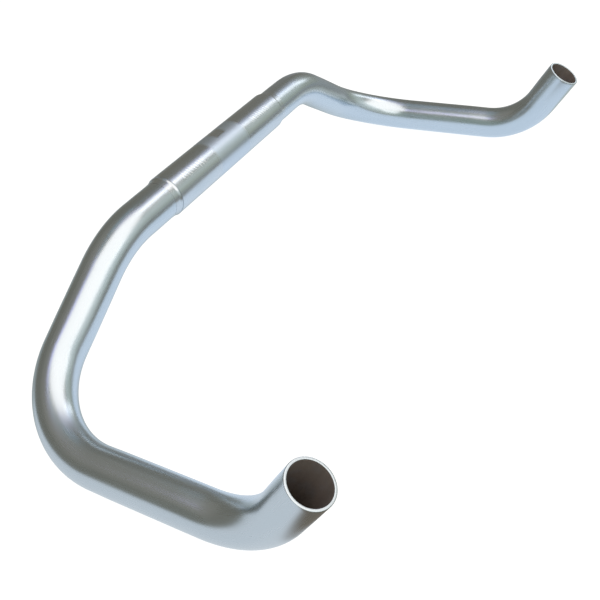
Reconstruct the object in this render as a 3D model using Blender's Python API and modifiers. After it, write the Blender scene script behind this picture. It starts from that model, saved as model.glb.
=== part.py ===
"""Bullhorn (pursuit) handlebar: one bent aluminium tube with a clamp sleeve pressed over its middle.

Metres, +Z up. The origin is the centre of the stem clamp, on the axis of the bar's straight middle.
+X runs along the clamp axis and +Y points forwards, along the two horns. The bar is symmetric in X.
"""

import math

import bpy
from mathutils import Vector

MM = 0.001

# Tube section
TUBE_RADIUS = 11.9 * MM  # 23.8 mm outside, the size that brake levers clamp to
TUBE_WALL = 1.4 * MM
MOUTH_CHAMFER = 0.25 * MM

# Centreline, for the +X half: straight middle, ramp down and out, horn forwards, tip turned up
TIP_HALF_SPACING = 220.0 * MM  # 440 mm between the centres of the two tips
MIDDLE_HALF_LENGTH = 113.5 * MM  # to where the middle's axis meets the ramp's
DROP = 61.5 * MM  # from the clamp axis down to the horns
RAMP_ANGLE = math.radians(31.5)  # below horizontal
HORN_LENGTH = 143.0 * MM  # forwards, to where the horn's axis meets the tip's
REACH = 172.0 * MM  # forwards, to the centre of the mouth
TIP_ANGLE = math.radians(58.0)  # above horizontal
BEND_RADII = (72.0 * MM, 53.0 * MM, 50.0 * MM)  # middle to ramp, ramp to horn, horn to tip

# Clamp sleeve
SLEEVE_RADIUS = 13.0 * MM  # 26.0 mm outside, the size that the stem clamps to
SLEEVE_HALF_LENGTH = 70.0 * MM
SLEEVE_CYLINDER_HALF_LENGTH = 64.0 * MM  # the rest of each end tapers towards the tube
SLEEVE_LIP = 0.15 * MM  # wall left at the thin end of the taper
SLEEVE_GAP = 0.3 * MM  # radial clearance between the tube and the sleeve's bore

# Fineness of the round surfaces
SIDES = 32
BEND_STEP = math.radians(6.0)

TUBE_COLOUR = (0.60, 0.63, 0.64, 1.0)
SLEEVE_COLOUR = (0.66, 0.68, 0.68, 1.0)


def clear_scene():
    for old in list(bpy.data.objects):
        bpy.data.objects.remove(old, do_unlink=True)


def metal(name, colour, roughness):
    material = bpy.data.materials.new(name)
    material.use_nodes = True
    shader = material.node_tree.nodes["Principled BSDF"]
    shader.inputs["Base Color"].default_value = colour
    shader.inputs["Metallic"].default_value = 1.0
    shader.inputs["Roughness"].default_value = roughness
    return material


def half_corners():
    """Where the centreline's straight stretches meet, from the clamp centre to the +X mouth."""
    ramp_foot = MIDDLE_HALF_LENGTH + DROP / math.tan(RAMP_ANGLE)
    mouth_height = -DROP + (REACH - HORN_LENGTH) * math.tan(TIP_ANGLE)
    return [
        Vector((0.0, 0.0, 0.0)),
        Vector((MIDDLE_HALF_LENGTH, 0.0, 0.0)),
        Vector((ramp_foot, 0.0, -DROP)),
        Vector((TIP_HALF_SPACING, HORN_LENGTH, -DROP)),
        Vector((TIP_HALF_SPACING, REACH, mouth_height)),
    ]


def bend_points(before, corner, after, radius):
    """Points along the arc of this radius that rounds the corner."""
    arriving = (corner - before).normalized()
    leaving = (after - corner).normalized()
    turn = arriving.angle(leaving)
    start = corner - arriving * radius * math.tan(turn / 2)
    to_centre = (leaving - arriving * arriving.dot(leaving)).normalized()
    centre = start + to_centre * radius
    steps = max(2, round(turn / BEND_STEP))
    angles = [turn * i / steps for i in range(steps + 1)]
    return [
        centre + radius * (math.sin(a) * arriving - math.cos(a) * to_centre) for a in angles
    ]


def centreline():
    """The whole centreline, from the -X mouth to the +X mouth."""
    corners = half_corners()
    half = []
    for i, radius in enumerate(BEND_RADII, start=1):
        half += bend_points(corners[i - 1], corners[i], corners[i + 1], radius)
    half.append(corners[-1])
    mirrored = [Vector((-p.x, p.y, p.z)) for p in reversed(half)]
    return mirrored + half


def make_tube(collection):
    """One tube, open at both mouths, whose wall is thickened inwards from its outer surface."""
    points = centreline()
    curve = bpy.data.curves.new("handlebar_tube", "CURVE")
    curve.dimensions = "3D"
    curve.twist_mode = "Z_UP"
    curve.bevel_depth = TUBE_RADIUS
    curve.bevel_resolution = (SIDES - 4) // 2
    curve.use_fill_caps = False
    spline = curve.splines.new("POLY")
    spline.points.add(len(points) - 1)
    for target, point in zip(spline.points, points):
        target.co = (*point, 1.0)
    curve.materials.append(metal("satin_tube", TUBE_COLOUR, 0.30))

    tube = bpy.data.objects.new("handlebar_tube", curve)
    collection.objects.link(tube)
    wall = tube.modifiers.new("Wall", "SOLIDIFY")
    wall.thickness = TUBE_WALL
    wall.offset = -1.0
    wall.use_even_offset = True
    mouths = tube.modifiers.new("Mouth chamfers", "BEVEL")
    mouths.width = MOUTH_CHAMFER
    mouths.segments = 1
    mouths.limit_method = "ANGLE"
    mouths.angle_limit = math.radians(60.0)
    return tube


def sleeve_profile():
    """The sleeve's wall as a closed outline of (radius, position along the axis), outer side first."""
    bore = TUBE_RADIUS + SLEEVE_GAP
    lip = bore + SLEEVE_LIP
    return [
        (lip, SLEEVE_HALF_LENGTH),
        (SLEEVE_RADIUS, SLEEVE_CYLINDER_HALF_LENGTH),
        (SLEEVE_RADIUS, -SLEEVE_CYLINDER_HALF_LENGTH),
        (lip, -SLEEVE_HALF_LENGTH),
        (bore, -SLEEVE_HALF_LENGTH),
        (bore, SLEEVE_HALF_LENGTH),
    ]


def make_sleeve(collection):
    """The sleeve, turned about its own Z and then laid along the clamp axis."""
    outline = sleeve_profile()
    mesh = bpy.data.meshes.new("clamp_sleeve")
    corners = [(radius, 0.0, along) for radius, along in outline]
    edges = [(i, (i + 1) % len(outline)) for i in range(len(outline))]
    mesh.from_pydata(corners, edges, [])
    mesh.materials.append(metal("satin_sleeve", SLEEVE_COLOUR, 0.36))

    sleeve = bpy.data.objects.new("clamp_sleeve", mesh)
    collection.objects.link(sleeve)
    sleeve.rotation_euler = (0.0, math.radians(90.0), 0.0)
    turn = sleeve.modifiers.new("Turn", "SCREW")
    turn.axis = "Z"
    turn.angle = math.radians(360.0)
    turn.steps = SIDES
    turn.render_steps = SIDES
    turn.use_merge_vertices = True
    turn.merge_threshold = 0.00001
    turn.use_smooth_shade = True
    normals = sleeve.modifiers.new("Crisp ends", "WEIGHTED_NORMAL")
    normals.keep_sharp = True
    return sleeve


def main():
    clear_scene()
    handlebar = bpy.data.collections.new("Bullhorn handlebar")
    bpy.context.scene.collection.children.link(handlebar)
    make_tube(handlebar)
    make_sleeve(handlebar)


main()
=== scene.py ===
import math

import bmesh
import bpy
from mathutils import Matrix, Vector


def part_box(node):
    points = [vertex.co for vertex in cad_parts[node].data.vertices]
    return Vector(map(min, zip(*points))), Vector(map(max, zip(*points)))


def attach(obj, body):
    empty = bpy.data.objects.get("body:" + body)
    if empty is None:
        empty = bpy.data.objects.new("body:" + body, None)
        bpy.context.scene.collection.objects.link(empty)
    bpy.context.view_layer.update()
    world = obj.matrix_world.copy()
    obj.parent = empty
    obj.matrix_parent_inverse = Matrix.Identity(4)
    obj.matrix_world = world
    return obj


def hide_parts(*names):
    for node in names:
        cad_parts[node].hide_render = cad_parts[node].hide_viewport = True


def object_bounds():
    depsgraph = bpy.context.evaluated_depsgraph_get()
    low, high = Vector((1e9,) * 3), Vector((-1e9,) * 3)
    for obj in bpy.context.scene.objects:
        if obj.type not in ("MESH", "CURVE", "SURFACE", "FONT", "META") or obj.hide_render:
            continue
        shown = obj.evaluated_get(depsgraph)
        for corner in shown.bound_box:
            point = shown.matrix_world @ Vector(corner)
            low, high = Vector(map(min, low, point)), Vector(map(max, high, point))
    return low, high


# Looks for a bullhorn handlebar: one bent satin tube and the clamp sleeve over its middle.
# Metres, +Z up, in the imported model's frame: the origin is the centre of the stem clamp,
# +X runs along the clamp axis and +Y forwards, along the horns.

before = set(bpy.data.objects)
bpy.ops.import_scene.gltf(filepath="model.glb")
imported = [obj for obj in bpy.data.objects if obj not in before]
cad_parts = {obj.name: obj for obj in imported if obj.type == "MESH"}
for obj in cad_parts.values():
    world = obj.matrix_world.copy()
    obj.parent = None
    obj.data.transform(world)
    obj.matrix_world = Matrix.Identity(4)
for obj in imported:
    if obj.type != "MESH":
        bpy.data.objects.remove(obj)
cad_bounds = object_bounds()

MM = 0.001

# ---------------------------------------------------------------- sizes of the real object

TUBE_RADIUS = 11.9 * MM
TUBE_WALL = 1.4 * MM
BORE_RADIUS = TUBE_RADIUS - TUBE_WALL
MOUTH_ROUNDING = 0.40 * MM  # outer edge of each mouth
BORE_ROUNDING = 0.20 * MM  # inner edge of each mouth

MIDDLE_HALF_LENGTH = 113.5 * MM
RAMP_ANGLE = math.radians(31.5)
HORN_LENGTH = 143.0 * MM
REACH = 172.0 * MM
TIP_ANGLE = math.radians(58.0)
BEND_RADII = (72.0 * MM, 53.0 * MM, 50.0 * MM)
BEND_FLATTENING = 0.012  # share of the radius lost in the plane of a bend
FLATTENING_RUN_OUT = 14.0 * MM  # how far it fades out beyond a bend

SLEEVE_RADIUS = 13.0 * MM
SLEEVE_HALF_LENGTH = 70.0 * MM
SLEEVE_EDGE = 63.8 * MM  # where the plain cylinder ends in a small step
SLEEVE_BEVEL = 0.05 * MM
SLEEVE_STEP = 0.30 * MM  # down to the neck that tapers to the tube
SLEEVE_GROOVE = 0.08 * MM  # depth of the line turned at the foot of the step
GROOVE_START = 0.02 * MM  # these four are distances beyond the step
GROOVE_END = 0.16 * MM
SHOULDER_START = 0.24 * MM
NECK_START = 0.32 * MM
NECK_STEEP_SHARE = 0.62  # of the neck's fall that lies close to the step
NECK_STEEP_LENGTH = 0.20  # share of the neck's length that this takes
SLEEVE_LIP = 0.03 * MM
SLEEVE_BORE_GAP = 0.03 * MM
SLEEVE_BORE_RADIUS = TUBE_RADIUS + SLEEVE_BORE_GAP

# ---------------------------------------------------------------- fineness of the meshes

TUBE_SIDES = 96
TUBE_PITCH = 2.0 * MM
ROUNDING_STEPS = 5
SLEEVE_SIDES = 160
SLEEVE_STEPS = 16  # along half of the plain cylinder
NECK_STEPS = 14
SLEEVE_BORE_STEPS = 8
SHARP_ANGLE = math.radians(40.0)

# ---------------------------------------------------------------- centreline


def corner_points():
    """Where the +X half's straight stretches meet. The frame gives the drop and tip spacing."""
    low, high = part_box("handlebar_tube")
    drop = -low.z - TUBE_RADIUS
    tip_x = high.x - TUBE_RADIUS
    ramp_foot = MIDDLE_HALF_LENGTH + drop / math.tan(RAMP_ANGLE)
    mouth_height = -drop + (REACH - HORN_LENGTH) * math.tan(TIP_ANGLE)
    return [
        Vector((MIDDLE_HALF_LENGTH, 0.0, 0.0)),
        Vector((ramp_foot, 0.0, -drop)),
        Vector((tip_x, HORN_LENGTH, -drop)),
        Vector((tip_x, REACH, mouth_height)),
    ]


class Stretch:
    """One straight or one arc of the centreline. A straight has no bend centre."""

    def __init__(self, start, direction, length, to_centre=None, radius=0.0):
        self.start = start
        self.direction = direction
        self.length = length
        self.to_centre = to_centre
        self.radius = radius

    def at(self, along):
        """(point, direction) this far along the stretch."""
        if self.to_centre is None:
            return self.start + self.direction * along, self.direction
        angle = along / self.radius
        centre = self.start + self.to_centre * self.radius
        sine, cosine = math.sin(angle), math.cos(angle)
        point = centre + self.radius * (sine * self.direction - cosine * self.to_centre)
        return point, cosine * self.direction + sine * self.to_centre

    def inwards(self, along):
        """The unit vector towards the bend's centre."""
        angle = along / self.radius
        return math.cos(angle) * self.to_centre - math.sin(angle) * self.direction


def centreline():
    """The stretches from the -X mouth to the +X mouth."""
    half = corner_points()
    corners = [Vector((-p.x, p.y, p.z)) for p in reversed(half)] + half
    radii = list(reversed(BEND_RADII)) + list(BEND_RADII)
    stretches = []
    start = corners[0]
    for i, radius in enumerate(radii, start=1):
        arriving = (corners[i] - corners[i - 1]).normalized()
        leaving = (corners[i + 1] - corners[i]).normalized()
        turn = arriving.angle(leaving)
        cut = radius * math.tan(turn / 2)
        bend_start = corners[i] - arriving * cut
        stretches.append(Stretch(start, arriving, (bend_start - start).length))
        to_centre = (leaving - arriving * arriving.dot(leaving)).normalized()
        stretches.append(Stretch(bend_start, arriving, radius * turn, to_centre, radius))
        start = corners[i] + leaving * cut
    last = (corners[-1] - start).normalized()
    stretches.append(Stretch(start, last, (corners[-1] - start).length))
    return stretches


class Station:
    """One cross-section of the tube: its centre, its two side vectors and how it is flattened."""

    def __init__(self, centre, direction, side):
        self.centre = centre
        self.side = side
        self.up = direction.cross(side)
        self.bends = []

    def point(self, radius, angle):
        out = math.cos(angle) * self.side + math.sin(angle) * self.up
        loss = sum(share * out.dot(inwards) ** 2 for inwards, share in self.bends)
        return self.centre + out * radius * (1.0 - BEND_FLATTENING * loss)


def smooth(share):
    share = min(1.0, max(0.0, share))
    return share * share * (3.0 - 2.0 * share)


def stations_at(stretches, distances):
    """A cross-section at each distance, with side vectors carried along without twist."""
    ends = []
    total = 0.0
    for stretch in stretches:
        ends.append((total, total + stretch.length))
        total += stretch.length
    direction = stretches[0].direction
    side = Vector((1.0, 0.0, 0.0))
    made = []
    for along in distances:
        k = next((i for i, (_, end) in enumerate(ends) if along <= end), len(ends) - 1)
        centre, now = stretches[k].at(along - ends[k][0])
        side = direction.rotation_difference(now) @ side
        direction = now
        station = Station(centre, now, side.normalized())
        for stretch, (start, end) in zip(stretches, ends):
            if stretch.to_centre is None:
                continue
            beyond = max(start - along, along - end, 0.0)
            share = smooth(1.0 - beyond / FLATTENING_RUN_OUT)
            if share > 0.0:
                nearest = min(max(along, start), end) - start
                station.bends.append((stretch.inwards(nearest), share))
        made.append(station)
    return made


# ---------------------------------------------------------------- building meshes


def closed_sweep(name, rings, around, along, material_of_ring):
    """A closed body from rings of equal size, each joined to the next and the last to the first.

    rings: lists of points.
    around: turns (0 to 1) at each point of a ring.
    along: distance for each ring.
    """
    mesh = bmesh.new()
    uv = mesh.loops.layers.uv.new("Surface")
    corners = [[mesh.verts.new(point) for point in ring] for ring in rings]
    sides = len(rings[0])
    for i, ring in enumerate(corners):
        following = (i + 1) % len(corners)
        for j in range(sides):
            beside = (j + 1) % sides
            face = mesh.faces.new(
                (ring[j], ring[beside], corners[following][beside], corners[following][j])
            )
            face.smooth = True
            face.material_index = material_of_ring[i]
            turns = (around[j], around[j] + 1.0 / sides)
            lengths = (along[i], along[following] if following else along[i])
            places = ((0, 0), (1, 0), (1, 1), (0, 1))
            for loop, (across, onwards) in zip(face.loops, places):
                loop[uv].uv = (turns[across], lengths[onwards])
    bmesh.ops.recalc_face_normals(mesh, faces=mesh.faces)
    data = bpy.data.meshes.new(name)
    mesh.to_mesh(data)
    mesh.free()
    data.set_sharp_from_angle(angle=SHARP_ANGLE)
    made = bpy.data.objects.new(name, data)
    bpy.context.scene.collection.objects.link(made)
    return made


def mouth_profile():
    """(depth behind the mouth's plane, radius) from the outer surface over the rim to the bore."""
    angles = [math.pi / 2 * i / ROUNDING_STEPS for i in range(ROUNDING_STEPS + 1)]
    outer_edge = [
        (MOUTH_ROUNDING * (1 - math.sin(a)), TUBE_RADIUS - MOUTH_ROUNDING * (1 - math.cos(a)))
        for a in angles
    ]
    inner_edge = [
        (BORE_ROUNDING * (1 - math.cos(a)), BORE_RADIUS + BORE_ROUNDING * (1 - math.sin(a)))
        for a in angles
    ]
    return outer_edge + inner_edge


def build_tube():
    """The whole tube as one closed body: outer surface, far rim, bore back again, near rim."""
    stretches = centreline()
    length = sum(stretch.length for stretch in stretches)
    rim = mouth_profile()
    pitches = round(length / TUBE_PITCH)
    body = [length * i / pitches for i in range(1, pitches)]
    outline = list(reversed(rim))
    outline += [(d, TUBE_RADIUS) for d in body]
    outline += [(length - d, r) for d, r in rim]
    outer_count = len(outline)
    outline += [(d, BORE_RADIUS) for d in reversed(body)]

    distances = sorted({d for d, _ in outline})
    station_at = dict(zip(distances, stations_at(stretches, distances)))
    angles = [math.tau * j / TUBE_SIDES for j in range(TUBE_SIDES)]
    rings = [[station_at[d].point(r, a) for a in angles] for d, r in outline]
    around = [j / TUBE_SIDES for j in range(TUBE_SIDES)]
    along = [d for d, _ in outline]
    outside, bore_finish = 0, 1
    finishes = [outside] * (outer_count - 1) + [bore_finish] * (len(outline) - outer_count + 1)
    return closed_sweep("bent_tube", rings, around, along, finishes)


def sleeve_outline():
    """(position along the clamp axis, radius) of the sleeve's wall, from its middle out to +X."""
    lip = SLEEVE_BORE_RADIUS + SLEEVE_LIP
    shoulder = SLEEVE_RADIUS - SLEEVE_STEP
    groove = shoulder - SLEEVE_GROOVE
    outline = [(SLEEVE_EDGE * i / SLEEVE_STEPS, SLEEVE_RADIUS) for i in range(1, SLEEVE_STEPS)]
    outline += [
        (SLEEVE_EDGE - SLEEVE_BEVEL, SLEEVE_RADIUS),
        (SLEEVE_EDGE, SLEEVE_RADIUS - SLEEVE_BEVEL),
        (SLEEVE_EDGE + GROOVE_START, groove),
        (SLEEVE_EDGE + GROOVE_END, groove),
        (SLEEVE_EDGE + SHOULDER_START, shoulder),
    ]
    start = SLEEVE_EDGE + NECK_START
    for i in range(NECK_STEPS + 1):
        share = i / NECK_STEPS
        steep = smooth(share / NECK_STEEP_LENGTH)
        fall = NECK_STEEP_SHARE * steep + (1 - NECK_STEEP_SHARE) * share
        outline.append(
            (start + (SLEEVE_HALF_LENGTH - start) * share, shoulder - (shoulder - lip) * fall)
        )
    return outline


def build_sleeve():
    """The sleeve, turned about the clamp axis, as one closed body."""
    half = sleeve_outline()
    outline = [(-x, r) for x, r in reversed(half)] + [(0.0, SLEEVE_RADIUS)] + half
    outline += [
        (SLEEVE_HALF_LENGTH * (1 - 2 * i / SLEEVE_BORE_STEPS), SLEEVE_BORE_RADIUS)
        for i in range(SLEEVE_BORE_STEPS + 1)
    ]
    around = [j / SLEEVE_SIDES for j in range(SLEEVE_SIDES)]
    rings = [
        [Vector((x, r * math.sin(math.tau * t), r * math.cos(math.tau * t))) for t in around]
        for x, r in outline
    ]
    along = [x for x, _ in outline]
    return closed_sweep("clamp_sleeve_turned", rings, around, along, [0] * len(outline))


# ---------------------------------------------------------------- shader nodes


def add(tree, kind, inputs=None, **settings):
    """A new shader node. An input's value is a number, a colour or another node's output."""
    made = tree.nodes.new("ShaderNode" + kind)
    for name, value in settings.items():
        setattr(made, name, value)
    for name, value in (inputs or {}).items():
        if isinstance(value, bpy.types.NodeSocket):
            tree.links.new(value, made.inputs[name])
        else:
            made.inputs[name].default_value = value
    return made


def maths(tree, operation, *values):
    return add(tree, "Math", dict(enumerate(values)), operation=operation).outputs[0]


def product(tree, first, second):
    return maths(tree, "MULTIPLY", first, second)


def ramp(tree, value, low, high, low_out=0.0, high_out=1.0, kind="SMOOTHSTEP"):
    """value carried from the range low..high to low_out..high_out, and held beyond it."""
    inputs = {
        "Value": value,
        "From Min": low,
        "From Max": high,
        "To Min": low_out,
        "To Max": high_out,
    }
    return add(tree, "MapRange", inputs, interpolation_type=kind).outputs["Result"]


def rising(tree, value, ends):
    """0 before the first of the two ends, 1 beyond the second."""
    return ramp(tree, value, *ends)


def falling(tree, value, ends):
    """1 before the first of the two ends, 0 beyond the second."""
    return ramp(tree, value, *ends, 1.0, 0.0)


def mix_colour(tree, share, first, second):
    """first where share is 0, second where it is 1."""
    # a Mix node has several sockets of each name, so the colour ones are given by number
    return add(tree, "Mix", {0: share, 6: first, 7: second}, data_type="RGBA").outputs[2]


def surface_place(tree, radius):
    """Coordinates in metres on the round surface, without a seam, then its turns and distance."""
    uv = add(tree, "UVMap", uv_map="Surface").outputs["UV"]
    split = add(tree, "SeparateXYZ", {"Vector": uv})
    turns, along = split.outputs["X"], split.outputs["Y"]
    angle = product(tree, turns, math.tau)
    across = product(tree, maths(tree, "COSINE", angle), radius)
    upwards = product(tree, maths(tree, "SINE", angle), radius)
    place = add(tree, "CombineXYZ", {"X": across, "Y": upwards, "Z": along}).outputs["Vector"]
    return place, turns, along


def stretched_noise(tree, place, size, detail=2.0):
    """Noise with features of this size: (width across the surface, length along it)."""
    across, along = size
    scale = (1 / across, 1 / across, 1 / along)
    mapped = add(tree, "Mapping", {"Vector": place, "Scale": scale})
    inputs = {
        "Vector": mapped.outputs["Vector"],
        "Scale": 1.0,
        "Detail": detail,
        "Roughness": 0.5,
    }
    return add(tree, "TexNoise", inputs).outputs["Fac"]


def inside(tree, value, low, high, edge):
    """1 where value lies between low and high, 0 outside, with soft edges this wide."""
    after_low = rising(tree, value, (low - edge / 2, low + edge / 2))
    before_high = falling(tree, value, (high - edge / 2, high + edge / 2))
    return product(tree, after_low, before_high)


def between_angles(tree, turns, low, high, edge=3.0):
    """1 between two angles in degrees, which may straddle zero, with soft edges."""
    middle = math.radians((low + high) / 2)
    half = math.radians((high - low) / 2)
    angle = maths(tree, "SUBTRACT", product(tree, turns, math.tau), middle)
    edge = math.radians(edge)
    ends = (math.cos(half + edge), math.cos(half - edge))
    return rising(tree, maths(tree, "COSINE", angle), ends)


# ---------------------------------------------------------------- finishes

NOISE_BODY = (0.3, 0.7)  # most of a noise's values lie between these

# Sizes of features are (width across the surface, length along it).
TUBE_LIGHT = (0.55, 0.612, 0.668, 1.0)
TUBE_SHADE = (0.53, 0.594, 0.652, 1.0)
TUBE_GRAIN = (0.5 * MM, 30.0 * MM)
TUBE_BLOTCH = (9.0 * MM, 40.0 * MM)
TUBE_MARK = (0.7 * MM, 9.0 * MM)
TUBE_MARK_ENDS = (0.70, 0.78)  # noise above this makes a handling mark
TUBE_ROUGHNESS = (0.26, 0.275)
TUBE_BLOTCH_ROUGHNESS = (-0.015, 0.02)  # added to it
TUBE_MARK_ROUGHNESS = 0.05  # added to it

BORE_METALLIC = 0.4
BORE_DARK = (0.23, 0.195, 0.18, 1.0)
BORE_LIGHT = (0.31, 0.265, 0.24, 1.0)
BORE_STAINED = (0.27, 0.25, 0.25, 1.0)
BORE_LINE = (0.6 * MM, 40.0 * MM)
BORE_STAIN = (6.0 * MM, 9.0 * MM)
BORE_STAIN_ENDS = (0.45, 0.7)
BORE_ROUGHNESS = (0.45, 0.65)

SLEEVE_LIGHT = (0.565, 0.61, 0.655, 1.0)
SLEEVE_SHADE = (0.54, 0.59, 0.635, 1.0)
SLEEVE_GRAIN = (0.4 * MM, 12.0 * MM)
SLEEVE_BLOTCH = (8.0 * MM, 20.0 * MM)
SLEEVE_ROUGHNESS = (0.255, 0.27)

CLAMP_ZONE = (-17.5 * MM, 18.6 * MM)  # the dull blasted band where the stem grips
PLAIN_WINDOW = (-4.3 * MM, 6.2 * MM)  # left unblasted, on top of the band
PLAIN_WINDOW_ANGLES = (-36.0, 16.0)  # these angles are degrees from the top towards the front
FAINT_BLAST_ANGLES = (56.0, 200.0)  # where the blasting is fainter, on the front and underside: there less of its paler colour is a painted darker reflection, and it adds less roughness
FAINT_BLAST_EDGE = 12.0  # degrees
FAINT_BLAST_LOSS = 0.5
# paler, as blasted metal is, and bluer: a painted lavender reflection of the lights beside the
# highlight
BLASTED_PALE_AND_LAVENDER_SHEEN = (0.555, 0.635, 0.725, 1.0)
BLASTED_ROUGHNESS = 0.16  # added to the sleeve's
BLASTED_EDGE = 3.0 * MM
BLASTED_PIT = (0.25 * MM, 0.25 * MM)

TICK_GROUPS = ((-52.0 * MM, -29.0 * MM), (30.0 * MM, 55.0 * MM))  # engraved hand-position ticks
TICK_GROUP_EDGE = 0.3 * MM
TICK_ANGLES = (29.0, 49.0)
TICK_PITCH = 2.5 * MM
TICK_WIDTH = 0.8 * MM
TICK_START = 0.2  # share of the pitch before a tick
TICK_EDGE = 0.12  # share of the pitch
TICK_SLANT = 6.0 * MM  # how far a tick leans along the bar for each radian round it
TICK_ORIGIN = 1.0  # metres, added so that the pitch divides a positive number
TICK_WEAR = (1.3 * MM, 1.3 * MM)
TICK_WEAR_ENDS = (0.35, 0.62)
TICK_WORN_SHARE = 0.25  # of a tick that is left where it is most worn
TICK_COLOUR = (0.86, 0.88, 0.90, 1.0)
TICK_COVER = 0.8
TICK_ROUGHNESS = 0.06  # added to the sleeve's

RELIEF = 0.05 * MM  # height of the bumps in every finish
TUBE_RELIEF_STRENGTH = 0.02
BORE_RELIEF_STRENGTH = 0.3
SLEEVE_RELIEF_STRENGTH = 0.04


def new_metal(name, metallic=1.0):
    material = bpy.data.materials.new(name)
    material.use_nodes = True
    tree = material.node_tree
    shader = tree.nodes["Principled BSDF"]
    shader.inputs["Metallic"].default_value = metallic
    return material, tree, shader


def finish_metal(tree, shader, colour, roughness, height, strength):
    """Links the colour and roughness to the shader, with bumps of this height."""
    tree.links.new(colour, shader.inputs["Base Color"])
    tree.links.new(roughness, shader.inputs["Roughness"])
    bump = add(tree, "Bump", {"Height": height, "Strength": strength, "Distance": RELIEF})
    tree.links.new(bump.outputs["Normal"], shader.inputs["Normal"])


def tube_material():
    """Satin anodised tube: faint lengthwise grain, soft blotches and a few fine handling marks."""
    material, tree, shader = new_metal("satin_tube")
    place, _, _ = surface_place(tree, TUBE_RADIUS)
    grain = stretched_noise(tree, place, TUBE_GRAIN, detail=3.0)
    blotches = stretched_noise(tree, place, TUBE_BLOTCH)
    marks = rising(tree, stretched_noise(tree, place, TUBE_MARK, detail=1.0), TUBE_MARK_ENDS)

    colour = mix_colour(tree, rising(tree, blotches, NOISE_BODY), TUBE_SHADE, TUBE_LIGHT)
    roughness = ramp(tree, grain, *NOISE_BODY, *TUBE_ROUGHNESS)
    blotchy = ramp(tree, blotches, *NOISE_BODY, *TUBE_BLOTCH_ROUGHNESS)
    roughness = maths(tree, "ADD", roughness, blotchy)
    roughness = maths(tree, "ADD", roughness, product(tree, marks, TUBE_MARK_ROUGHNESS))
    finish_metal(tree, shader, colour, roughness, grain, TUBE_RELIEF_STRENGTH)
    return material


def bore_material():
    """The drawn tube's unfinished inside: dark, dull oxide with lengthwise drawing lines."""
    material, tree, shader = new_metal("drawn_bore", BORE_METALLIC)
    place, _, _ = surface_place(tree, BORE_RADIUS)
    lines = stretched_noise(tree, place, BORE_LINE, detail=3.0)
    stains = rising(tree, stretched_noise(tree, place, BORE_STAIN), BORE_STAIN_ENDS)
    colour = mix_colour(tree, lines, BORE_DARK, BORE_LIGHT)
    colour = mix_colour(tree, stains, colour, BORE_STAINED)
    roughness = ramp(tree, lines, *NOISE_BODY, *BORE_ROUGHNESS)
    finish_metal(tree, shader, colour, roughness, lines, BORE_RELIEF_STRENGTH)
    return material


def blasting(tree, turns, along):
    """1 where the clamp band is fully blasted: all but a plain window, and fainter in front."""
    band = inside(tree, along, *CLAMP_ZONE, BLASTED_EDGE)
    window_length = inside(tree, along, *PLAIN_WINDOW, BLASTED_EDGE)
    window = product(tree, window_length, between_angles(tree, turns, *PLAIN_WINDOW_ANGLES))
    blasted = product(tree, band, maths(tree, "SUBTRACT", 1.0, window))
    # fainter on the front and underside: less of the paler colour there, a painted darker
    # reflection below the highlight, and less added roughness
    faded = between_angles(tree, turns, *FAINT_BLAST_ANGLES, FAINT_BLAST_EDGE)
    return product(tree, blasted, ramp(tree, faded, 0.0, 1.0, 1.0, 1.0 - FAINT_BLAST_LOSS, "LINEAR"))


def tick_marks(tree, place, turns, along):
    """Short slanted strokes, unevenly worn, in two groups, one each side of the clamp."""
    angle = product(tree, turns, math.tau)
    leaned = maths(tree, "ADD", along, product(tree, angle, TICK_SLANT))
    pitches = maths(tree, "DIVIDE", maths(tree, "ADD", leaned, TICK_ORIGIN), TICK_PITCH)
    phase = maths(tree, "FRACT", pitches)
    stroke = inside(tree, phase, TICK_START, TICK_START + TICK_WIDTH / TICK_PITCH, TICK_EDGE)
    first, second = (inside(tree, along, *ends, TICK_GROUP_EDGE) for ends in TICK_GROUPS)
    group = maths(tree, "ADD", first, second)
    strip = between_angles(tree, turns, *TICK_ANGLES)
    wear = stretched_noise(tree, place, TICK_WEAR)
    kept = ramp(tree, wear, *TICK_WEAR_ENDS, TICK_WORN_SHARE, 1.0)
    return product(tree, product(tree, product(tree, stroke, group), strip), kept)


def sleeve_material():
    """Satin sleeve: finer grain, a dull blasted band where the stem grips, and groups of ticks."""
    material, tree, shader = new_metal("satin_sleeve")
    place, turns, along = surface_place(tree, SLEEVE_RADIUS)
    grain = stretched_noise(tree, place, SLEEVE_GRAIN, detail=3.0)
    blotches = stretched_noise(tree, place, SLEEVE_BLOTCH)
    blasted = blasting(tree, turns, along)
    ticks = tick_marks(tree, place, turns, along)

    colour = mix_colour(tree, rising(tree, blotches, NOISE_BODY), SLEEVE_SHADE, SLEEVE_LIGHT)
    # the blasted band: paler metal with a painted lavender reflection
    colour = mix_colour(tree, blasted, colour, BLASTED_PALE_AND_LAVENDER_SHEEN)
    colour = mix_colour(tree, product(tree, ticks, TICK_COVER), colour, TICK_COLOUR)

    roughness = ramp(tree, grain, *NOISE_BODY, *SLEEVE_ROUGHNESS)
    roughness = maths(tree, "ADD", roughness, product(tree, blasted, BLASTED_ROUGHNESS))
    roughness = maths(tree, "ADD", roughness, product(tree, ticks, TICK_ROUGHNESS))

    pits = product(tree, stretched_noise(tree, place, BLASTED_PIT), blasted)
    raised = maths(tree, "ADD", product(tree, pits, 0.5), product(tree, grain, 0.5))
    height = maths(tree, "SUBTRACT", raised, ticks)
    finish_metal(tree, shader, colour, roughness, height, SLEEVE_RELIEF_STRENGTH)
    return material


# ---------------------------------------------------------------- floor

FLOOR_HEIGHT = cad_bounds[0].z
FLOOR_HALF_WIDTH = 6.0
FLOOR_DROP = 0.2 * MM  # below the bar
MIRRORED_FLOOR_DROP = 0.4 * MM
PAPER_COLOUR = (0.20, 0.20, 0.20, 1.0)
PAPER_GLOW = 4.7

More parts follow.
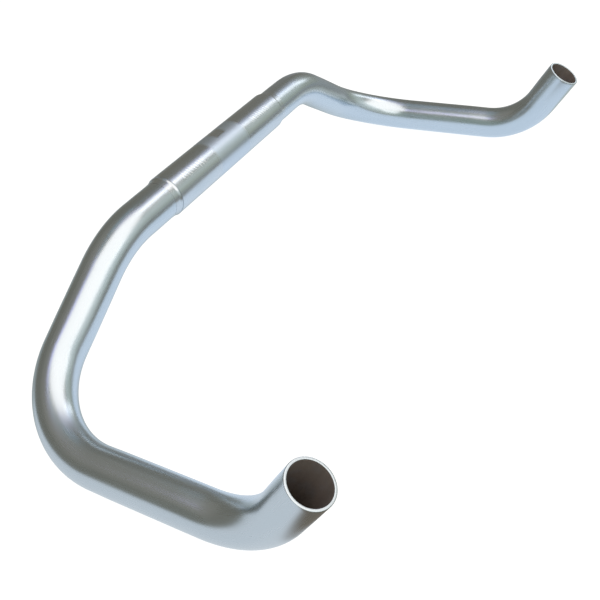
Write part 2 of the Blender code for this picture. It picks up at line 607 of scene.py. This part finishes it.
# What the metal mirrors: a pale bluish sheet under the bar, on a darker table. Two numbers
# called ENDS say where a change begins and where it is complete, in metres along X or Y.
SHEET_FRONT = 0.168  # where the sheet ends ahead of the bar
SHEET_FRONT_BLUR = 0.008  # each side of that edge
SHEET_FRONT_LEFT = 0.06  # how much further forwards the edge lies on the -X side
SHEET_FRONT_LEFT_ENDS = (-0.20, -0.08)
SHEET_FRONT_RIGHT = -0.003  # and on the +X side
SHEET_FRONT_RIGHT_ENDS = (0.14, 0.20)
SHEET_LEFT_ENDS = (-0.48, -0.26)  # where the sheet ends on the -X side

SHEET_BRIGHT = (0.87, 0.97, 1.08, 1.0)
SHEET_RIGHT = (0.84, 0.875, 0.90, 1.0)
SHEET_RIGHT_ENDS = (0.14, 0.24)
SHEET_BEHIND = (0.43, 0.47, 0.45, 1.0)  # shaded part behind the bar's middle and ramps
SHEET_BEHIND_ENDS = (-0.06, 0.03)
SHEET_BEHIND_REACH = 0.08  # how much further forwards it reaches on the +X side
SHEET_BEHIND_REACH_ENDS = (0.12, 0.20)
SHEET_BEHIND_RIGHT_ENDS = (0.185, 0.235)
SHEET_FAR_BEHIND = (0.41, 0.45, 0.44, 1.0)
SHEET_FAR_BEHIND_ENDS = (-0.5, -0.12)
SHEET_HORN_SHADE = (0.62, 0.66, 0.62, 1.0)  # beyond the -X horn: painted shade of the horn on the sheet
SHEET_HORN_SHADE_X_ENDS = (-0.25, -0.23)
SHEET_HORN_SHADE_Y_ENDS = (0.03, 0.07)

TABLE_DARK = (0.26, 0.255, 0.215, 1.0)
TABLE_SHADED = (0.20, 0.165, 0.125, 1.0)  # in the shade of the +X tip
TABLE_SHADED_X_ENDS = (0.06, 0.18)
TABLE_SHADED_Y_ENDS = (0.25, 0.45)
TABLE_LEFT = (0.35, 0.375, 0.385, 1.0)
TABLE_LEFT_ENDS = (-0.7, -0.35)
TABLE_FAR = (0.38, 0.41, 0.37, 1.0)
TABLE_FAR_X_ENDS = (-0.2, 0.4)
TABLE_FAR_Y_ENDS = (0.3, 0.9)


def floor_material(name, colour, strength):
    """A surface without any shine that shows this colour, and glows with it."""
    material = bpy.data.materials.new(name)
    material.use_nodes = True
    shader = material.node_tree.nodes["Principled BSDF"]
    shader.inputs["Base Color"].default_value = colour
    shader.inputs["Roughness"].default_value = 0.9
    shader.inputs["Specular IOR Level"].default_value = 0.0
    shader.inputs["Emission Color"].default_value = colour
    shader.inputs["Emission Strength"].default_value = strength
    return material


def sheet_colour(tree, x, y):
    """The pale sheet: brightest ahead of the bar's middle, shaded behind it."""
    colour = mix_colour(tree, rising(tree, x, SHEET_RIGHT_ENDS), SHEET_BRIGHT, SHEET_RIGHT)
    reach = ramp(tree, x, *SHEET_BEHIND_REACH_ENDS, 0.0, SHEET_BEHIND_REACH)
    behind = falling(tree, maths(tree, "SUBTRACT", y, reach), SHEET_BEHIND_ENDS)
    behind = product(tree, behind, falling(tree, x, SHEET_BEHIND_RIGHT_ENDS))
    colour = mix_colour(tree, behind, colour, SHEET_BEHIND)
    far_behind = falling(tree, y, SHEET_FAR_BEHIND_ENDS)
    colour = mix_colour(tree, far_behind, colour, SHEET_FAR_BEHIND)
    # painted shade of the -X horn, on the sheet beyond it
    beyond_horn = falling(tree, x, SHEET_HORN_SHADE_X_ENDS)
    outside = product(tree, beyond_horn, rising(tree, y, SHEET_HORN_SHADE_Y_ENDS))
    return mix_colour(tree, outside, colour, SHEET_HORN_SHADE)


def table_colour(tree, x, y):
    """The darker table round the sheet."""
    right = rising(tree, x, TABLE_SHADED_X_ENDS)
    shaded = product(tree, right, falling(tree, y, TABLE_SHADED_Y_ENDS))
    colour = mix_colour(tree, shaded, TABLE_DARK, TABLE_SHADED)
    colour = mix_colour(tree, falling(tree, x, TABLE_LEFT_ENDS), colour, TABLE_LEFT)
    far = product(tree, rising(tree, y, TABLE_FAR_Y_ENDS), rising(tree, x, TABLE_FAR_X_ENDS))
    return mix_colour(tree, far, colour, TABLE_FAR)


def mirrored_floor_material():
    """The sheet on its table. It only glows, so no light or shade falls on it."""
    material = bpy.data.materials.new("mirrored_floor")
    material.use_nodes = True
    tree = material.node_tree
    shader = tree.nodes["Principled BSDF"]
    shader.inputs["Base Color"].default_value = (0.0, 0.0, 0.0, 1.0)
    shader.inputs["Specular IOR Level"].default_value = 0.0
    shader.inputs["Emission Strength"].default_value = 1.0
    place = add(tree, "SeparateXYZ", {"Vector": add(tree, "NewGeometry").outputs["Position"]})
    x, y = place.outputs["X"], place.outputs["Y"]
    further_left = ramp(tree, x, *SHEET_FRONT_LEFT_ENDS, SHEET_FRONT_LEFT, 0.0)
    front = maths(tree, "ADD", SHEET_FRONT, further_left)
    further_right = ramp(tree, x, *SHEET_FRONT_RIGHT_ENDS, 0.0, SHEET_FRONT_RIGHT)
    front = maths(tree, "ADD", front, further_right)
    blur_ends = (-SHEET_FRONT_BLUR, SHEET_FRONT_BLUR)
    ahead = rising(tree, maths(tree, "SUBTRACT", y, front), blur_ends)
    aside = falling(tree, x, SHEET_LEFT_ENDS)
    off_sheet = maths(tree, "MAXIMUM", ahead, aside)
    colour = mix_colour(tree, off_sheet, sheet_colour(tree, x, y), table_colour(tree, x, y))
    tree.links.new(colour, shader.inputs["Emission Color"])
    return material


def board(name, height, material):
    """A flat square stage board round the origin, at this height."""
    w = FLOOR_HALF_WIDTH
    mesh = bpy.data.meshes.new(name)
    corners = [(-w, -w, height), (w, -w, height), (w, w, height), (-w, w, height)]
    mesh.from_pydata(corners, [], [(0, 1, 2, 3)])
    mesh.materials.append(material)
    made = bpy.data.objects.new(name, mesh)
    bpy.context.scene.collection.objects.link(made)
    return made


def build_floor():
    """A pale floor for the eye, and a twin just below it for the metal to mirror."""
    paper = floor_material("pale_paper", PAPER_COLOUR, PAPER_GLOW)
    floor = board("floor", FLOOR_HEIGHT - FLOOR_DROP, paper)
    floor.visible_glossy = False
    floor.visible_diffuse = False
    floor.visible_shadow = False
    twin_height = FLOOR_HEIGHT - MIRRORED_FLOOR_DROP
    twin = board("mirrored_floor", twin_height, mirrored_floor_material())
    twin.visible_camera = False
    twin.visible_shadow = False


# ---------------------------------------------------------------- lights

AREA_LIGHT_FACTOR = math.pi  # watts per square metre of an area light and unit of its radiance
CEILING = 1.5
FORWARDS = (0.0, 1.0, 0.0)
SLANT = (0.25, 1.0, 0.0)
SIDE_SLANT = (-0.286, 0.958, 0.0)
ORIGIN = (0.0, 0.0, 0.0)

KEY_COLOUR = (1.0, 0.93, 0.88)
STRIP_COLOUR = (0.97, 0.97, 1.0)
RIM_COLOUR = (0.64, 0.74, 1.0)

# the leaning strip on the -X side, and the dimmer, bluer rim beside its upper part
STRIP_BOTTOM = Vector((-1.45, 0.39, 0.32))
STRIP_TOP = Vector((-1.17, 0.56, 1.30))
STRIP_WIDTH = 0.31
STRIP_RADIANCE = 1.47
RIM_WIDTH = 0.24
RIM_RADIANCE = 0.75
RIM_LENGTH = 0.6  # share of the strip's
RIM_RISE = 0.2  # share of the strip's length that the rim's middle lies above the strip's
RIM_OFFSET = Vector((-0.04, -0.22, 0.0))


def softbox(name, centre, aim, size, radiance, colour, upright):
    """An area light at centre, facing aim. size is its width, and its height along upright."""
    width, height = size
    data = bpy.data.lights.new(name, "AREA")
    data.shape = "RECTANGLE"
    data.size = width
    data.size_y = height
    data.energy = AREA_LIGHT_FACTOR * radiance * width * height
    data.color = colour
    made = bpy.data.objects.new(name, data)
    backwards = (Vector(centre) - Vector(aim)).normalized()
    side = Vector(upright).cross(backwards).normalized()
    turned = Matrix((side, backwards.cross(side), backwards)).transposed()
    made.matrix_world = Matrix.Translation(centre) @ turned.to_4x4()
    made.visible_camera = False
    bpy.context.scene.collection.objects.link(made)


def overhead(name, x, y, size, radiance, colour, upright=FORWARDS):
    """A softbox at the studio's ceiling, facing straight down."""
    softbox(name, (x, y, CEILING), (x, y, 0.0), size, radiance, colour, upright)


def build_lights():
    """Large soft lights ahead and beside, dim ones along their edges, and a leaning strip."""
    overhead("key_near", -0.06, 0.53, (2.9, 1.1), 1.55, KEY_COLOUR, SLANT)
    overhead("key_far", 0.10, 2.07, (2.7, 2.0), 1.55, KEY_COLOUR, SLANT)
    overhead("side", 2.46, 1.53, (2.8, 2.1), 1.30, KEY_COLOUR, SIDE_SLANT)
    overhead("fringe_left", -0.92, 0.05, (1.5, 0.24), 0.68, (0.62, 0.63, 1.0), SLANT)
    overhead("fringe_right", 0.86, -0.38, (0.6, 0.30), 1.35, (0.64, 0.60, 1.0), SLANT)
    overhead("corner", -1.62, 0.13, (0.7, 0.5), 0.45, (0.50, 0.65, 1.0))
    overhead("fade_left", -0.55, -0.46, (1.1, 0.36), 0.24, (0.40, 0.74, 1.0))
    overhead("fade_right", 0.32, -0.39, (0.44, 0.24), 0.25, (0.35, 0.72, 1.0))
    overhead("glow", 0.80, -1.20, (2.8, 1.4), 0.065, (1.0, 0.86, 0.74))

    leaning = STRIP_TOP - STRIP_BOTTOM
    middle = (STRIP_BOTTOM + STRIP_TOP) / 2
    strip_size = (STRIP_WIDTH, leaning.length)
    softbox("strip", middle, ORIGIN, strip_size, STRIP_RADIANCE, STRIP_COLOUR, leaning)
    beside = middle + RIM_RISE * leaning + RIM_OFFSET
    rim_size = (RIM_WIDTH, RIM_LENGTH * leaning.length)
    softbox("rim", beside, ORIGIN, rim_size, RIM_RADIANCE, RIM_COLOUR, leaning)


# ---------------------------------------------------------------- room

# Two numbers called ENDS say where a change begins and where it is complete, as the X, Y or Z
# part of the unit vector that points at that place on the room's wall.
ROOM_BACK = (0.227, 0.215, 0.175, 1.0)
ROOM_CORNER = (0.31, 0.305, 0.30, 1.0)
ROOM_CORNER_X_ENDS = (-0.90, -0.76)
ROOM_CORNER_Y_ENDS = (-0.46, -0.36)
ROOM_BESIDE = (0.30, 0.36, 0.31, 1.0)
ROOM_BESIDE_X_ENDS = (0.62, 0.84)
ROOM_BESIDE_Y_ENDS = (-0.44, -0.30)
ROOM_FRONT_LOW = (0.62, 0.68, 0.62, 1.0)
ROOM_FRONT_HIGH = (0.82, 0.88, 0.84, 1.0)
ROOM_SIDE_LOW = (0.41, 0.44, 0.35, 1.0)
ROOM_SIDE_HIGH = (0.62, 0.68, 0.62, 1.0)
ROOM_FRONT_ENDS = (-0.35, 0.6)
ROOM_FRONT_TOP_ENDS = (0.40, 0.60)
ROOM_FRONT_SIDE_ENDS = (0.35, 0.75)
ROOM_FRONT_LOW_ENDS = (0.04, 0.29)
WHITE = (1.0, 1.0, 1.0, 1.0)


def room_wall_colour(tree, x, y, z):
    """A dim olive room that turns paler towards its front wall."""
    wall = product(tree, rising(tree, y, ROOM_FRONT_ENDS), falling(tree, z, ROOM_FRONT_TOP_ENDS))
    ahead = falling(tree, maths(tree, "ABSOLUTE", x), ROOM_FRONT_SIDE_ENDS)
    low = ramp(tree, z, *ROOM_FRONT_LOW_ENDS, 1.0, 0.0, "LINEAR")
    front_high = mix_colour(tree, ahead, ROOM_SIDE_HIGH, ROOM_FRONT_HIGH)
    front_low = mix_colour(tree, ahead, ROOM_SIDE_LOW, ROOM_FRONT_LOW)
    front = mix_colour(tree, low, front_high, front_low)
    left = falling(tree, x, ROOM_CORNER_X_ENDS)
    corner = product(tree, left, falling(tree, y, ROOM_CORNER_Y_ENDS))
    back = mix_colour(tree, corner, ROOM_BACK, ROOM_CORNER)
    right = rising(tree, x, ROOM_BESIDE_X_ENDS)
    beside = product(tree, right, rising(tree, y, ROOM_BESIDE_Y_ENDS))
    back = mix_colour(tree, beside, back, ROOM_BESIDE)
    return mix_colour(tree, wall, back, front)


def build_world():
    """The room for everything but the camera, which sees plain white."""
    world = bpy.data.worlds.new("studio")
    bpy.context.scene.world = world
    world.use_nodes = True
    tree = world.node_tree
    tree.nodes.clear()
    direction = add(tree, "TexCoord").outputs["Generated"]
    towards = add(tree, "SeparateXYZ", {"Vector": direction}).outputs
    room_colour = room_wall_colour(tree, towards["X"], towards["Y"], towards["Z"])
    seen = add(tree, "Background", {"Color": WHITE, "Strength": 1.0})
    room = add(tree, "Background", {"Color": room_colour, "Strength": 1.0})
    camera_ray = add(tree, "LightPath").outputs["Is Camera Ray"]
    shaders = {0: camera_ray, 1: room.outputs[0], 2: seen.outputs[0]}
    mixed = add(tree, "MixShader", shaders)
    add(tree, "OutputWorld", {"Surface": mixed.outputs[0]})


# ---------------------------------------------------------------- camera

CAMERA_PLACE = Vector((0.41145, 0.28533, 0.23606))
CAMERA_FORWARD = Vector((-0.68849, -0.41421, -0.59532))
CAMERA_UP = Vector((-0.56374, -0.21077, 0.79861))
FOCAL_LENGTH = 49.874  # millimetres
SENSOR_WIDTH = 36.0  # millimetres
PICTURE_SHIFT = (0.02079, 0.01587)  # shares of the picture's width
NEAREST_SEEN = 0.01


def build_camera():
    data = bpy.data.cameras.new("camera")
    data.sensor_width = SENSOR_WIDTH
    data.lens = FOCAL_LENGTH
    data.shift_x, data.shift_y = PICTURE_SHIFT
    data.clip_start = NEAREST_SEEN
    camera = bpy.data.objects.new("camera", data)
    forward = CAMERA_FORWARD.normalized()
    right = forward.cross(CAMERA_UP).normalized()
    up = right.cross(forward)
    turned = Matrix((right, up, -forward)).transposed()
    camera.matrix_world = Matrix.Translation(CAMERA_PLACE) @ turned.to_4x4()
    bpy.context.scene.collection.objects.link(camera)
    bpy.context.scene.camera = camera


# ---------------------------------------------------------------- putting it together

tube = build_tube()
tube.data.materials.append(tube_material())
tube.data.materials.append(bore_material())
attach(tube, "root")
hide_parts("handlebar_tube")

sleeve = build_sleeve()
sleeve.data.materials.append(sleeve_material())
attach(sleeve, "root")
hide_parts("clamp_sleeve")

build_floor()
build_lights()
build_world()
build_camera()
bpy.context.scene.view_settings.view_transform = "Standard"
